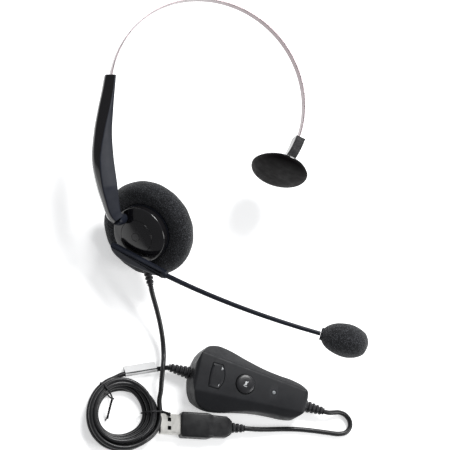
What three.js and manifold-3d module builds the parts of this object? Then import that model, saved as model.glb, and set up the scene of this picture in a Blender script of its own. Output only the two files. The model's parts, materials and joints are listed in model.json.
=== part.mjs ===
// Office headset for one ear, with an in-line USB control box, laid on a table.
// Units are millimetres, +Z is up and the table is z = 0.
import * as THREE from "three";
import { mergeVertices } from "three/addons/utils/BufferGeometryUtils.js";
import Module from "manifold-3d";

const wasm = await Module();
wasm.setup();

// ---- driving dimensions ----
const GAP = 0.3; // between pieces that touch
const ORIGIN = { x: -15.7, y: 5.6 };

const BAND = { x: -23.3, y: 70.2, z: 38.1, r: 62.3, thick: 0.8, width: 5.6, start: -30, end: 187, steps: 48 };
const ARM = { depth: 12, endDepth: 8.4, screwX: -87.2, screwY: 11 };
const SLEEVE = { length: 15, width: 9, from: -20 };
const PAD = { half: 27.6, across: 17, plate: 1.8, cushion: 4.6, pin: 1.1, back: 3, facing: 246.8, x: 24, y: 30 };

const CUP = { x: -68, y: -20.5, z: 35.6, lean: 0.55, upAngle: 128 };
const HOUSING = { r: 17.5, back: -9, floor: -3.2, table: 10.4 };
const CUSHION = { r: 30, tube: 7.2, inner: 10, middle: -16.6 };
const STUB = { offset: 4.5, saddle: 6.2, pin: 2.2, r: 3.3, from: 10.4, collar: 14.2, to: 19 };
const BOOM = { angle: -57, side: -13, root: 26, tube: 1.5, reach: 106.5, bend: 0.4, low: 0.4, high: 4.8 };
const MIC = { length: 29, r: 10, capsule: 3 };
const RELIEF = { angle: -119.6, length: 15, r: 3.2, tip: 2.1, depth: -6 };

const CORD = { r: 1.5, sides: 8 };
const COIL = { x: -66, y: -124, inner: 12.2, outer: 22.6, low: 1.2, high: 9.2 };

const BOX = { x: 12.3, y: -104.1, turn: -12.4, half: 37.2, height: 17, split: 7, cord: 5, relief: 13 };
const ROCKER = { x: -23, across: 15.5, low: 14.2 };
const MUTE = { x: -4.5, r: 6 };
const LED = { x: 14.5, r: 1.2 };

const USB = { x: -30.4, y: -128.4, z: 4, shell: 12.5, wide: 12, high: 4.5, sheet: 0.4, body: 33, relief: 8 };

// ---- materials ----
const finish = (color, roughness, metalness = 0) =>
  new THREE.MeshStandardMaterial({ color, roughness, metalness });
const STEEL = finish(0xd8d8da, 0.15, 1);
const GLOSS = finish(0x0c0c0e, 0.15);
const SATIN = finish(0x2c2d31, 0.45);
const GREY = finish(0x46484b, 0.5);
const FOAM = finish(0x26272a, 0.95);
const RUBBER = finish(0x1b1a1c, 0.7);
const PAPER = finish(0xf0f0ee, 0.8);
const BOARD = finish(0x1d5a35, 0.5);
const CLEAR = finish(0xa8acae, 0.3);

// ---- geometry helpers ----
const v3 = (x, y, z) => new THREE.Vector3(x, y, z);
const rad = THREE.MathUtils.degToRad;

// The closed surface as a solid, turned so that its faces point out.
function toSolid(geometry) {
  const bare = geometry.clone();
  bare.deleteAttribute("normal");
  bare.deleteAttribute("uv");
  const merged = mergeVertices(bare, 1e-4);
  const vertProperties = new Float32Array(merged.attributes.position.array);
  const build = (triVerts) => new wasm.Manifold(new wasm.Mesh({ numProp: 3, vertProperties, triVerts }));
  const triVerts = new Uint32Array(merged.index.array);
  const made = build(triVerts);
  return made.volume() < 0 ? build(triVerts.reverse()) : made;
}

function toGeometry(solid) {
  const mesh = solid.getMesh();
  const geometry = new THREE.BufferGeometry();
  geometry.setAttribute("position", new THREE.BufferAttribute(new Float32Array(mesh.vertProperties), 3));
  geometry.setIndex(new THREE.BufferAttribute(new Uint32Array(mesh.triVerts), 1));
  return geometry;
}

const cut = (body, ...tools) =>
  toGeometry(tools.reduce((left, tool) => left.subtract(toSolid(tool)), toSolid(body)));
const join = (body, ...others) =>
  toGeometry(others.reduce((sum, other) => sum.add(toSolid(other)), toSolid(body)));
const common = (a, b) => toGeometry(toSolid(a).intersect(toSolid(b)));

const block = (w, d, h, x = 0, y = 0, z = 0) => new THREE.BoxGeometry(w, d, h).translate(x, y, z);

// A cylinder along Z, from z = low to z = high.
function post(r, low, high, x = 0, y = 0, sides = 24) {
  const shape = new THREE.CylinderGeometry(r, r, high - low, sides);
  return shape.rotateX(Math.PI / 2).translate(x, y, (low + high) / 2);
}

// A cylinder along X, from x = low to x = high.
function rod(r, low, high, sides = 16) {
  const shape = new THREE.CylinderGeometry(r, r, high - low, sides);
  return shape.rotateZ(-Math.PI / 2).translate((low + high) / 2, 0, 0);
}

// A solid of revolution about Z; the profile is a list of [radius, z].
function spun(profile, sides = 40) {
  const points = profile.map(([r, z]) => new THREE.Vector2(r, z));
  return new THREE.LatheGeometry(points, sides).rotateX(Math.PI / 2);
}

function circle(r, sides) {
  const corners = Array.from({ length: sides }, (_, i) => {
    const a = (2 * Math.PI * i) / sides;
    return new THREE.Vector2(r * Math.cos(a), r * Math.sin(a));
  });
  return new THREE.Shape(corners);
}

function tube(points, r, steps, sides = CORD.sides) {
  const extrudePath = new THREE.CatmullRomCurve3(points, false, "centripetal");
  return new THREE.ExtrudeGeometry(circle(r, sides), { steps, extrudePath, bevelEnabled: false });
}

function slab(shape, low, high, curveSegments = 12) {
  const made = new THREE.ExtrudeGeometry(shape, { depth: high - low, bevelEnabled: false, curveSegments });
  return made.translate(0, 0, low);
}

// A skin over rings of equally many points, closed by flat ends.
function loft(rings) {
  const n = rings[0].length;
  const corners = rings.flat();
  const index = [];
  rings.slice(1).forEach((_, k) => {
    for (let i = 0; i < n; i++) {
      const a = k * n + i;
      const b = k * n + ((i + 1) % n);
      index.push(a, b, b + n, a, b + n, a + n);
    }
  });
  const last = (rings.length - 1) * n;
  for (let i = 1; i < n - 1; i++) {
    index.push(0, i + 1, i, last, last + i, last + i + 1);
  }
  const geometry = new THREE.BufferGeometry().setFromPoints(corners);
  geometry.setIndex(index);
  return geometry;
}

// A tapered strain relief along X, with ribs.
function relief(length, r, tip, ribs) {
  const profile = [[0, 0]];
  for (let i = 0; i < ribs; i++) {
    const x = (length * i) / ribs;
    const here = r + ((tip - r) * i) / ribs;
    profile.push([here, x], [here, x + (0.55 * length) / ribs]);
    profile.push([here - 0.7, x + (0.6 * length) / ribs], [here - 0.7, x + (0.95 * length) / ribs]);
  }
  profile.push([tip, length], [0, length]);
  return spun(profile, 10).rotateY(Math.PI / 2);
}

function add(group, name, geometry, material) {
  const mesh = new THREE.Mesh(toGeometry(toSolid(geometry)), material.clone());
  mesh.name = name;
  group.add(mesh);
  return mesh;
}

const headset = new THREE.Group();

// ---- headband: an arc in the plane z = BAND.z ----
const arcPoint = (deg, r = BAND.r) => [BAND.x + r * Math.cos(rad(deg)), BAND.y + r * Math.sin(rad(deg))];

// A piece of the ring between two radii and two angles, of the given height.
function arcBar(inner, outer, fromDeg, toDeg, height, steps) {
  const shape = new THREE.Shape();
  for (let i = 0; i <= steps; i++) {
    const a = fromDeg + ((toDeg - fromDeg) * i) / steps;
    const [x, y] = arcPoint(a, outer);
    i ? shape.lineTo(x, y) : shape.moveTo(x, y);
  }
  for (let i = steps; i >= 0; i--) {
    const a = fromDeg + ((toDeg - fromDeg) * i) / steps;
    shape.lineTo(...arcPoint(a, inner));
  }
  return slab(shape, BAND.z - height / 2, BAND.z + height / 2);
}

function makeBand() {
  const half = BAND.thick / 2;
  const strip = arcBar(BAND.r - half, BAND.r + half, BAND.start, BAND.end, BAND.width, BAND.steps);
  add(headset, "headband_strip", strip, STEEL);
  const stop = arcBar(BAND.r - 0.6, BAND.r + 0.6, BAND.end + 0.3, BAND.end + 2.3, BAND.width, 2);
  add(headset, "band_end_stop", stop, RUBBER);
}

// ---- the ear cup's frame: +Z out of the cup, +Y up its swivel axis ----
function cupMatrix() {
  const up = v3(Math.cos(rad(CUP.upAngle)), Math.sin(rad(CUP.upAngle)), 0);
  const flat = Math.sqrt(1 - CUP.lean ** 2);
  const out = v3(-up.y * flat, up.x * flat, CUP.lean);
  const across = up.clone().cross(out);
  return new THREE.Matrix4().makeBasis(across, up, out).setPosition(CUP.x, CUP.y, CUP.z);
}

// A round bar on the swivel axis, in the headset's frame.
function onSwivel(r, from, to) {
  const bar = new THREE.CylinderGeometry(r, r, to - from, 20);
  return bar.translate(0, (from + to) / 2, STUB.offset).applyMatrix4(cupMatrix());
}

// ---- arm: two half shells around the strip's hidden end ----
// Each station is [x, y, thickness] of the arm's middle line, from the band down to the swivel.
const ARM_LINE = [
  [-85.9, 78.5, 6.2],
  [-87.2, 68, 7.2],
  [-88.8, 56, 8.8],
  [-90.2, 42, 10.4],
  [-90.1, 26, 12.4],
  [-87.6, 11.5, 11.6],
  [-85.2, 1, 9.6],
];
// The last stations lie on the swivel axis, as [distance along it, thickness].
const ARM_FOOT = [
  [19, 8],
  [14.8, 7],
];

function armBody() {
  const foot = ARM_FOOT.map(([along, thick]) => {
    const { x, y } = v3(0, along, STUB.offset).applyMatrix4(cupMatrix());
    return [x, y, thick];
  });
  const stations = [...ARM_LINE, ...foot];
  const line = new THREE.CatmullRomCurve3(stations.map(([x, y]) => v3(x, y, 0)));
  const sizes = new THREE.CatmullRomCurve3(stations.map(([, , t]) => v3(t, 0, 0)));
  const steps = 24;
  const rings = [];
  for (let i = 0; i <= steps; i++) {
    const u = i / steps;
    const middle = line.getPoint(u);
    const along = line.getTangent(u);
    const inward = v3(-along.y, along.x, 0);
    const half = sizes.getPoint(u).x / 2;
    const deep = THREE.MathUtils.lerp(ARM.depth, ARM.endDepth, Math.max(0, u * 3 - 2)) / 2;
    const section = [
      [-half, -deep + 1.5],
      [-half, deep - 4],
      [-half + 2, deep - 0.5],
      [-half + 3, deep],
      [half - 1, deep],
      [half, deep - 1],
      [half, -deep + 1],
      [half - 1, -deep],
      [-half + 1.5, -deep],
    ];
    rings.push(
      section.map(([a, w]) => v3(middle.x + inward.x * a, middle.y + inward.y * a, BAND.z + w)),
    );
  }
  return loft(rings);
}

function makeArm() {
  const reach = 400;
  const channel = arcBar(BAND.r - 0.9, BAND.r + 0.9, 150, BAND.end + 4, BAND.width + 1, 24);
  const hole = post(1.6, 0, BAND.z + 3.6, ARM.screwX, ARM.screwY);
  const socket = onSwivel(STUB.pin + GAP, 0, STUB.to + GAP);
  const body = cut(armBody(), channel, hole, socket);
  const front = block(reach, reach, reach, 0, 0, BAND.z + GAP / 2 + reach / 2);
  const back = block(reach, reach, reach, 0, 0, BAND.z - GAP / 2 - reach / 2);
  add(headset, "arm_front_shell", common(body, front), SATIN);
  add(headset, "arm_back_shell", common(body, back), GLOSS);
  const screw = post(1.3, BAND.z - 5.6, BAND.z + 3.3, ARM.screwX, ARM.screwY, 16);
  add(headset, "arm_screw", screw, STEEL);
}

// ---- T-bar: sleeve, hinge pin, plate and pad ----
function makeTBar() {
  const span = THREE.MathUtils.radToDeg(SLEEVE.length / BAND.r);
  const outer = arcBar(BAND.r - 2.4, BAND.r + 3.6, SLEEVE.from - span, SLEEVE.from, SLEEVE.width, 6);
  const slot = arcBar(BAND.r - 0.7, BAND.r + 0.7, BAND.start - 0.4, SLEEVE.from + 1, BAND.width + 0.6, 8);
  const pinX = PAD.x - PAD.back * Math.cos(rad(PAD.facing));
  const pinY = PAD.y - PAD.back * Math.sin(rad(PAD.facing));
  const [endX, endY] = arcPoint(SLEEVE.from - span, BAND.r + 0.6);
  const reach = Math.hypot(endX - pinX, endY - pinY) + 1;
  const ears = [-3.2, 3.2].flatMap((z) => {
    const bar = block(reach, 4.4, 2.6, reach / 2, 0, 0);
    bar.rotateZ(Math.atan2(endY - pinY, endX - pinX)).translate(pinX, pinY, BAND.z + z);
    return [bar, post(2.4, BAND.z + z - 1.3, BAND.z + z + 1.3, pinX, pinY, 16)];
  });
  const pinHole = post(PAD.pin + GAP, BAND.z - 9, BAND.z + 9, pinX, pinY, 16);
  add(headset, "t_bar_sleeve", cut(join(outer, ...ears), slot, pinHole), GLOSS);

  const pad = new THREE.Group();
  pad.position.set(PAD.x, PAD.y, BAND.z);
  pad.rotation.z = rad(PAD.facing);
  headset.add(pad);
  // In the pad's own frame +X is the side that faces the head.
  const oval = (grow, low, high) =>
    post(1, low, high, 0, 0, 36).scale(PAD.half + grow, PAD.across + grow, 1).rotateY(Math.PI / 2);
  const plate = oval(-1.2, 0, PAD.plate);
  const lug = block(PAD.back + 2.6, 4, 3, -PAD.back / 2 + 0.2, 0, 0);
  const lugHole = post(PAD.pin + GAP, -5, 5, -PAD.back, 0, 16);
  add(pad, "t_pad_plate", cut(join(plate, lug), lugHole), GLOSS);
  const rows = 5;
  const rings = [];
  for (let k = 0; k <= rows; k++) {
    const t = k / rows;
    const size = Math.cos(t * 1.25);
    const x = PAD.plate + GAP + PAD.cushion * Math.sin(t * 1.25);
    rings.push(
      Array.from({ length: 36 }, (_, i) => {
        const a = (2 * Math.PI * i) / 36;
        return v3(x, PAD.across * size * Math.sin(a), PAD.half * size * Math.cos(a));
      }),
    );
  }
  add(pad, "t_pad_cushion", loft(rings), RUBBER);
  add(pad, "t_pad_pin", post(PAD.pin, -4.4, 4.4, -PAD.back, 0, 16), STEEL);
}

// ---- ear cup ----
const cup = new THREE.Group();
cup.applyMatrix4(cupMatrix());
headset.add(cup);

function makeCup() {
  const edge = HOUSING.r;
  const shell = spun([
    [0, HOUSING.floor],
    [HOUSING.table + 0.5, HOUSING.floor],
    [HOUSING.table + 3, -1.8],
    [edge - 1.9, 0],
    [edge - 0.6, -0.4],
    [edge, -3],
    [edge, HOUSING.back],
    [edge - 1.6, HOUSING.back],
    [edge - 1.6, -3.8],
    [HOUSING.table + 3.2, -3.8],
    [HOUSING.table + 0.9, -4.9],
    [0, -4.9],
  ], 36);
  const notch = new THREE.CylinderGeometry(STUB.saddle, STUB.saddle, 16, 24).translate(0, edge, STUB.offset);
  const pivotHole = post(1.7, -8, 0, 0, 0, 16);
  const turn = rad(RELIEF.angle);
  const port = rod(RELIEF.tip + GAP, edge - 5, edge + 4, 14).translate(0, 0, RELIEF.depth).rotateZ(turn);
  add(cup, "housing_shell", cut(shell, notch, pivotHole, port), GLOSS);

  const stub = new THREE.CylinderGeometry(STUB.r, 2.7, STUB.collar - STUB.from, 20);
  stub.translate(0, (STUB.collar + STUB.from) / 2, STUB.offset);
  const pin = new THREE.CylinderGeometry(STUB.pin, STUB.pin, STUB.to - STUB.from, 20);
  pin.translate(0, (STUB.to + STUB.from) / 2, STUB.offset);
  const foot = block(4.4, 2.6, 5.4, 0, STUB.from + 1.3, STUB.offset - 2.8);
  add(cup, "swivel_stub", join(stub, pin, foot), SATIN);

  const baffle = spun([[8.3, -10.4], [8.3, -9.3], [edge, -9.3], [edge, -10.4], [8.3, -10.4]]);
  add(cup, "speaker_baffle", baffle, SATIN);
  const driver = spun([[0, -5.6], [7.4, -5.6], [12.4, -7], [12.4, -9], [8, -9], [8, -11.4], [0, -11.4]], 32);
  add(cup, "speaker_driver", driver, STEEL);
  const grille = spun([[0, -11.8], [9.4, -11.8], [9.4, -12.6], [0, -12.6]], 32);
  const slots = [-6, -3, 0, 3, 6].map((x) => block(1.2, 2 * Math.sqrt(64 - x * x), 4, x, 0, -12));
  add(cup, "speaker_grille", cut(grille, ...slots), SATIN);

  const ring = [];
  const corners = 9;
  for (let i = 0; i <= corners; i++) {
    const a = Math.PI / 2 - (Math.PI * i) / corners;
    ring.push([CUSHION.r - CUSHION.tube + CUSHION.tube * Math.cos(a), CUSHION.middle + CUSHION.tube * Math.sin(a)]);
  }
  const inside = [
    [CUSHION.inner + 4, CUSHION.middle - CUSHION.tube],
    [CUSHION.inner, CUSHION.middle - CUSHION.tube + 3],
    [CUSHION.inner, -10.7],
    [edge + 0.3, -10.7],
    [edge + 0.3, CUSHION.middle + CUSHION.tube],
  ];
  add(cup, "ear_cushion", spun([...ring, ...inside, ring[0]], 32), FOAM);

  const ribs = relief(RELIEF.length, RELIEF.r, RELIEF.tip, 6).translate(edge + GAP, 0, 0);
  const neck = rod(RELIEF.tip, edge - 3, edge + GAP + 1, 14);
  const whole = join(ribs, neck).translate(0, 0, RELIEF.depth).rotateZ(turn);
  add(cup, "cup_strain_relief", whole, RUBBER);
  [0, 1].forEach((i) => {
    const screw = join(post(0.9, -9, -5.4, 14.2, 0, 12), post(1.2, -9.2, -8.4, 14.2, 0, 12));
    add(cup, `housing_screw_${i + 1}`, screw.rotateZ(rad(35 + 180 * i)), STEEL);
  });
}

// ---- boom: a frame of its own, +X towards the microphone ----
function makeBoom() {
  const boom = new THREE.Group();
  boom.rotation.z = rad(BOOM.angle);
  cup.add(boom);
  const table = cut(post(HOUSING.table, HOUSING.floor + GAP, BOOM.low - GAP, 0, 0, 40), post(1.9, -6, 2, 0, 0, 16));
  add(boom, "boom_turntable", table, SATIN);
  const screw = join(post(1.4, -5.4, 0.6, 0, 0, 16), post(3, BOOM.low, 1.4, 0, 0, 20));
  add(boom, "boom_pivot_screw", screw, STEEL);

  const outline = new THREE.Shape();
  outline.moveTo(-13.6, BOOM.side + 2.8);
  outline.lineTo(-10.3, BOOM.side + 3.7);
  outline.lineTo(BOOM.root, BOOM.side + 2.2);
  outline.lineTo(BOOM.root, BOOM.side - 2.2);
  outline.bezierCurveTo(18, BOOM.side - 3.2, 8, -17.2, 0, -17.2);
  outline.bezierCurveTo(-7, -17.2, -12.5, -14.5, -13.6, BOOM.side + 2.8);
  const blade = slab(outline, BOOM.low, BOOM.high, 8);
  const lift = (BOOM.low + BOOM.high) / 2;
  const bore = rod(BOOM.tube + GAP, BOOM.root - 8, BOOM.root + 2, 12).translate(0, BOOM.side, lift);
  add(boom, "boom_root", cut(blade, bore), GLOSS);

  const steps = 16;
  const start = BOOM.root - 7;
  const path = Array.from({ length: steps + 1 }, (_, i) => {
    const x = (BOOM.reach * i) / steps;
    const past = Math.max(0, x - 7);
    return v3(start + x, BOOM.side, lift - (BOOM.bend * past * past) / (2 * BOOM.reach));
  });
  add(boom, "boom_tube", tube(path, BOOM.tube, 24, 8), SATIN);

  const tip = new THREE.Group();
  tip.position.copy(path[steps]);
  tip.rotation.y = Math.atan(BOOM.bend);
  boom.add(tip);
  add(tip, "mic_holder", rod(2.4, GAP, 6, 16), SATIN);
  add(tip, "mic_capsule", rod(MIC.capsule, 6 + GAP, 12, 20), STEEL);
  const half = MIC.length / 2;
  const boreR = MIC.capsule + GAP;
  const boreEnd = 12 - half;
  const rows = 10;
  const skin = [];
  for (let i = 2; i <= rows; i++) {
    const a = Math.PI - (Math.PI * i) / rows;
    const swell = 1 + 0.08 * Math.cos(a);
    skin.push([i === rows ? 0 : MIC.r * Math.sin(a) ** 0.85 * swell, half * Math.cos(a)]);
  }
  const foam = spun([[0, boreEnd], [boreR, boreEnd], [boreR, skin[0][1] - 0.6], ...skin], 28);
  add(tip, "mic_windscreen", foam.rotateY(Math.PI / 2).translate(half + 0.5, 0, 0), FOAM);
}

// ---- cords: hand-laid routes on the table, with a coil between the first two ----
const TO_COIL = [
  [-47.4, -59, 11.6],
  [-43.8, -68, 7.6],
  [-41.4, -77.4, 4.9],
  [-40.9, -86.4, 5],
  [-41.8, -92, 7.2],
  [-42.4, -97, 7.6],
  [-42.5, -103, 5.9],
  [-42.5, -108.4, 4.6],
  [-43.3, -113.6, 3.8],
];
const FROM_COIL = [
  [-71, -99.6, 2.4],
  [-66.5, -98.9, 2.2],
  [-61, -97.8, 2.2],
  [-55, -96.5, 2.2],
  [-49, -95.2, 2.2],
  [-43.8, -94.2, 2.4],
  [-38.3, -93.4, 4.8],
];
const TO_PLUG = [
  [62.3, -115.1, 5],
  [65.6, -115.6, 4.6],
  [69, -115.2, 3.8],
  [73, -114.7, 2.9],
  [77.2, -115.8, 2.1],
  [80.2, -119, 1.7],
  [80.6, -123.2, 1.6],
  [78, -126.7, 1.6],
  [73.6, -128, 1.6],
  [66, -127.6, 1.6],
  [56, -126.9, 1.6],
  [46, -126.6, 1.6],
  [36, -127, 1.7],
  [27, -127.8, 2.4],
  [20, -128.3, 3.3],
  [14.4, -128.4, 3.9],
  [11.4, -128.4, 4],
];
const route = (points) => points.map(([x, y, z]) => v3(x, y, z));

// A place on the cup's strain relief, at a distance past its tip.
function pastRelief(distance) {
  const out = HOUSING.r + GAP + RELIEF.length + distance;
  const turn = rad(RELIEF.angle);
  return v3(out * Math.cos(turn), out * Math.sin(turn), RELIEF.depth).applyMatrix4(cupMatrix());
}

function makeCords() {
  const fromCup = [pastRelief(GAP), pastRelief(5), ...route(TO_COIL)];
  add(headset, "cord_cup_to_coil", tube(fromCup, CORD.r, 18), RUBBER);
  add(headset, "cord_coil_to_box", tube(route(FROM_COIL), CORD.r, 10), RUBBER);
  add(headset, "cord_box_to_plug", tube(route(TO_PLUG), CORD.r, 34), RUBBER);

  const middle = (COIL.inner + COIL.outer) / 2;
  const wide = (COIL.outer - COIL.inner) / 2;
  const height = (COIL.high + COIL.low) / 2;
  const tall = (COIL.high - COIL.low) / 2;
  const oval = (grow, n) =>
    Array.from({ length: n + 1 }, (_, i) => {
      const a = (2 * Math.PI * (i % n)) / n;
      return [middle + (wide + grow) * Math.cos(a), height + (tall + grow) * Math.sin(a)];
    });
  add(headset, "cord_coil", spun(oval(0, 10), 32).translate(COIL.x, COIL.y, 0), RUBBER);

  // A tie is a thin wire loop round the bundle, with its ends twisted together.
  [
    { turn: 128, tail: -1, bent: -2.2 },
    { turn: 8, tail: 1, bent: 0 },
  ].forEach(({ turn, tail, bent }, i) => {
    const wire = 1;
    const across = (grow) => new THREE.Shape(oval(grow, 14).slice(1).map(([x, y]) => new THREE.Vector2(x, y)));
    const loop = cut(slab(across(wire), -0.6, 0.6), slab(across(0.2), -2, 2)).rotateX(Math.PI / 2);
    const start = middle + tail * (wide + 0.7);
    const end = rod(0.7, 0, 6.5, 8).rotateZ(bent).translate(start, 0, height);
    const tie = join(loop, end).rotateZ(rad(turn)).translate(COIL.x, COIL.y, 0);
    add(headset, `twist_tie_${i + 1}`, tie, SATIN);
  });

  const bore = tube(route(FROM_COIL), CORD.r + GAP, 20, 10);
  const flag = new THREE.Shape();
  flag.absellipse(0, 0, 2.9, 2.1, 0, 2 * Math.PI);
  const sleeve = slab(flag, -10, 10, 10).rotateZ(Math.PI / 2).rotateY(Math.PI / 2);
  const lay = sleeve.rotateZ(rad(12.4)).translate(-54.6, -96.4, 2.25);
  add(headset, "cord_label", cut(lay, bore), PAPER);
}

// ---- control box: its own frame on the table, +X along it towards the plug ----
const box = new THREE.Group();
box.position.set(BOX.x, BOX.y, 0);
box.rotation.z = rad(BOX.turn);
headset.add(box);

// Half the box's outline, from the headset's end to the plug's.
const BOX_SIDE = [
  [-37.2, 5.2],
  [-35.2, 12.4],
  [-31, 18],
  [-24.6, 20.6],
  [-16, 19.8],
  [-5, 16.6],
  [7, 13.7],
  [17, 12.6],
  [25.6, 12.2],
  [32.4, 10.4],
  [36, 7],
  [37.2, 3.8],
];

function boxBody() {
  const side = BOX_SIDE.map(([x, y]) => new THREE.Vector2(x, y));
  const curve = new THREE.SplineCurve(side).getPoints(20);
  const other = curve.map((p) => new THREE.Vector2(p.x, -p.y)).reverse();
  const outline = slab(new THREE.Shape([...curve, ...other]), 0, BOX.height);
  const section = (x, base, edge, top, flat) =>
    [
      [-base, 0],
      [base, 0],
      [edge, 5],
      [edge, 7.5],
      [top, flat],
      [-top, flat],
      [-edge, 7.5],
      [-edge, 5],
    ].map(([y, z]) => v3(x, y, z));
  const roof = loft([section(-BOX.half - 1, 17, 24, 12.6, BOX.height), section(BOX.half + 1, 9, 15, 6.8, 15.4)]);
  return common(outline, roof);
}

function makeBox() {
  const body = boxBody();
  const inner = body.clone().scale(0.94, 0.88, 0.8).translate(0, 0, 1.7);
  const port = rod(3.3, -60, 60, 14).translate(0, 0, BOX.cord);
  const above = block(100, 60, 40, 0, 0, BOX.split + GAP / 2 + 20);
  const below = block(100, 60, 40, 0, 0, BOX.split - GAP / 2 - 20);
  const muteHole = post(MUTE.r + 0.35, 10, 30, MUTE.x, 0, 32);
  const rockerHole = rockerPlate(0.35, 10, 30);
  const ledHole = post(LED.r + GAP, 10, 30, LED.x, 0, 16);
  const shell = cut(body, inner, port);
  add(box, "box_top_shell", cut(common(shell, above), muteHole, rockerHole, ledHole), GREY);
  const screws = [-27, 24];
  const sinks = screws.map((x) => post(2.4, -5, 5, x, 0, 16));
  add(box, "box_bottom_shell", cut(common(shell, below), ...sinks), GREY);
  screws.forEach((x, i) => {
    const screw = join(post(2, 0.7, 1.9, x, 0, 16), post(1, 1.5, 6, x, 0, 10));
    add(box, `box_screw_${i + 1}`, screw, STEEL);
  });

  add(box, "circuit_board", block(58, 16, 1.4, -2, 0, 7.5), BOARD);
  const tact = (name, x, y) =>
    add(box, name, join(block(5, 5, 1.8, x, y, 9.4), post(1.4, 10, 11, x, y, 12)), SATIN);
  tact("mute_switch", MUTE.x, 0);
  tact("volume_switch_up", ROCKER.x, 5);
  tact("volume_switch_down", ROCKER.x, -5);

  const rim = MUTE.r;
  const cap = spun([[0, 12.4], [2, 12.4], [2, 14], [rim, 14], [rim, 17], [rim - 0.6, 17.5], [3, 17.9], [0, 18]], 32);
  add(box, "mute_button", cap.translate(MUTE.x, 0, 0), SATIN);
  const feet = [5, -5].map((y) => block(2, 2, 3.2, ROCKER.x, y, 13));
  const groove = rod(0.6 + GAP, -30, -10, 12).translate(0, 0, ROCKER.low);
  add(box, "volume_rocker", cut(join(rockerPlate(0, ROCKER.low, BOX.height + 0.3), ...feet), groove), GREY);
  const pin = rod(0.6, ROCKER.x - 5, ROCKER.x + 4.6, 10).translate(0, 0, ROCKER.low);
  add(box, "rocker_pin", pin, STEEL);
  add(box, "led_light_pipe", post(LED.r, 8.6, 16.4, LED.x, 0, 16), CLEAR);

  const whole = relief(BOX.relief, 3.4, RELIEF.tip, 5);
  const collar = block(1.6, 9, 7, 0.5, 0, 0);
  const end = (sign) => join(whole, collar).rotateZ(sign > 0 ? 0 : Math.PI).translate(sign * (BOX.half + 0.6), 0, BOX.cord);
  add(box, "box_strain_relief_in", end(-1), RUBBER);
  add(box, "box_strain_relief_out", end(1), RUBBER);
}

// The rocker from above: straight at the headset's side and bowed towards the mute button.
function rockerPlate(grow, low, high) {
  const half = ROCKER.across / 2 + grow;
  const shape = new THREE.Shape();
  shape.moveTo(ROCKER.x - 4 - grow, -half);
  shape.quadraticCurveTo(ROCKER.x - 5.4 - grow, 0, ROCKER.x - 4 - grow, half);
  shape.lineTo(ROCKER.x + 2.2 + grow, half);
  shape.quadraticCurveTo(ROCKER.x + 7.4 + grow, 0, ROCKER.x + 2.2 + grow, -half);
  return slab(shape, low, high, 8);
}

// ---- USB-A plug ----
function makePlug() {
  const plug = new THREE.Group();
  plug.position.set(USB.x, USB.y, USB.z);
  headset.add(plug);
  const shell = cut(
    block(USB.shell + 8, USB.wide, USB.high, (8 - USB.shell) / 2, 0, 0),
    block(40, USB.wide - 2 * USB.sheet, USB.high - 2 * USB.sheet),
    ...[-2.6, 2.6].map((y) => block(2.2, 2.4, 9, -7, y, 0)),
  );
  add(plug, "usb_shell", shell, STEEL);
  add(plug, "usb_tongue", block(USB.shell + 7, 10.6, 1.7, (7 - USB.shell) / 2 + 0.6, 0, -0.9), SATIN);
  const section = (x, w, h) => {
    const c = 1.4;
    return [
      [-w + c, -h],
      [w - c, -h],
      [w, -h + c],
      [w, h - c],
      [w - c, h],
      [-w + c, h],
      [-w, h - c],
      [-w, -h + c],
    ].map(([y, z]) => v3(x, y, z));
  };
  const body = loft([
    section(GAP, 7.3, 3.7),
    section(1.2, 7.8, 3.95),
    section(18, 7.8, 3.95),
    section(20, 7.2, 3.5),
    section(USB.body - 3, 6.4, 3.4),
    section(USB.body, 4.2, 3),
  ]);
  const pocket = block(20, USB.wide + 2 * GAP, USB.high + 2 * GAP, -1, 0, 0);
  add(plug, "usb_overmould", cut(body, pocket), SATIN);
  const ribs = relief(USB.relief, 2.9, RELIEF.tip, 3).translate(USB.body + GAP, 0, 0);
  add(plug, "usb_strain_relief", ribs, RUBBER);
}

makeBand();
makeArm();
makeTBar();
makeCup();
makeBoom();
makeCords();
makeBox();
makePlug();

// The origin is the middle of the headset and its control box, seen from above.
headset.position.set(-ORIGIN.x, -ORIGIN.y, 0);

export default headset;
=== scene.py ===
# Looks of the office headset: materials, soft goods, cords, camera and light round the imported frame.
# Lengths are metres in Blender; MM turns the design's millimetres into them.
import json
import math

import bmesh
import bpy
from mathutils import Matrix, Vector, noise


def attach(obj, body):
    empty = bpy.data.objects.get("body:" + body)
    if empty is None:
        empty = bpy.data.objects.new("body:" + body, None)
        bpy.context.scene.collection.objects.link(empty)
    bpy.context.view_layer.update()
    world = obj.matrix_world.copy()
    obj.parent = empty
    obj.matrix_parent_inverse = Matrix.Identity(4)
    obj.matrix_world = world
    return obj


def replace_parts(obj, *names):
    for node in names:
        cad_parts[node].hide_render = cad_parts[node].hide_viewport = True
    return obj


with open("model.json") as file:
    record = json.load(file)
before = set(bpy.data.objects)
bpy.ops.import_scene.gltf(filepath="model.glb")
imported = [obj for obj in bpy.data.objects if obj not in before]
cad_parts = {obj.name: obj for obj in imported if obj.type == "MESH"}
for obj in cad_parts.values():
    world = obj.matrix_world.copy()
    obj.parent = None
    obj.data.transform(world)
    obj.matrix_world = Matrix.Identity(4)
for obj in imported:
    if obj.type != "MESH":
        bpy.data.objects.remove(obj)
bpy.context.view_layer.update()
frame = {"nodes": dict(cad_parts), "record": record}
MM = 0.001
SHIFT = Vector((15.7, -5.6, 0.0))  # from the design's own origin to the frame's

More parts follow.
